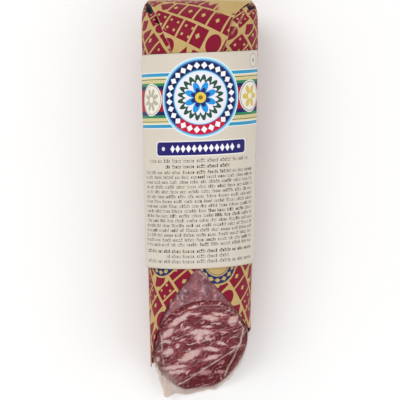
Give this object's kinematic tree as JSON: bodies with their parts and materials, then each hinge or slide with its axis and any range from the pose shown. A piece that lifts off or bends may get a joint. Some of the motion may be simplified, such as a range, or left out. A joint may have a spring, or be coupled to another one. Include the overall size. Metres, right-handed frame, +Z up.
{
  "type": "half cured sausage in film and printed paper",
  "caption": "Bias-cut half of a cured sausage in clear film, rolled in printed straw paper with a pointed window, a folded end and a front label.",
  "frame": {"origin": "on the surface it rests on, under the middle of its overall length and width", "axes": "+Z up through the label, +Y along the sausage towards the folded end, +X to the label's right"},
  "size_m": [0.0634, 0.2206, 0.0625],
  "materials": {
    "cured_meat": "moist cut face of coarse minced pork with white fat",
    "natural_casing": "dry, mottled grey-pink natural skin",
    "cotton_twine": "twisted undyed cotton",
    "clear_film": "clear, glossy, creased shrink film",
    "straw_paper": "matt tan straw paper with crimson print",
    "label_paper": "cream paper with coloured bands, faint sheen"
  },
  "bodies": {
    "root": {"sausage_meat": "cured_meat", "casing": "natural_casing", "end_tie": "cotton_twine", "vacuum_pouch": "clear_film", "paper_wrapper": "straw_paper", "label": "label_paper"}
  },
  "joints": []
}
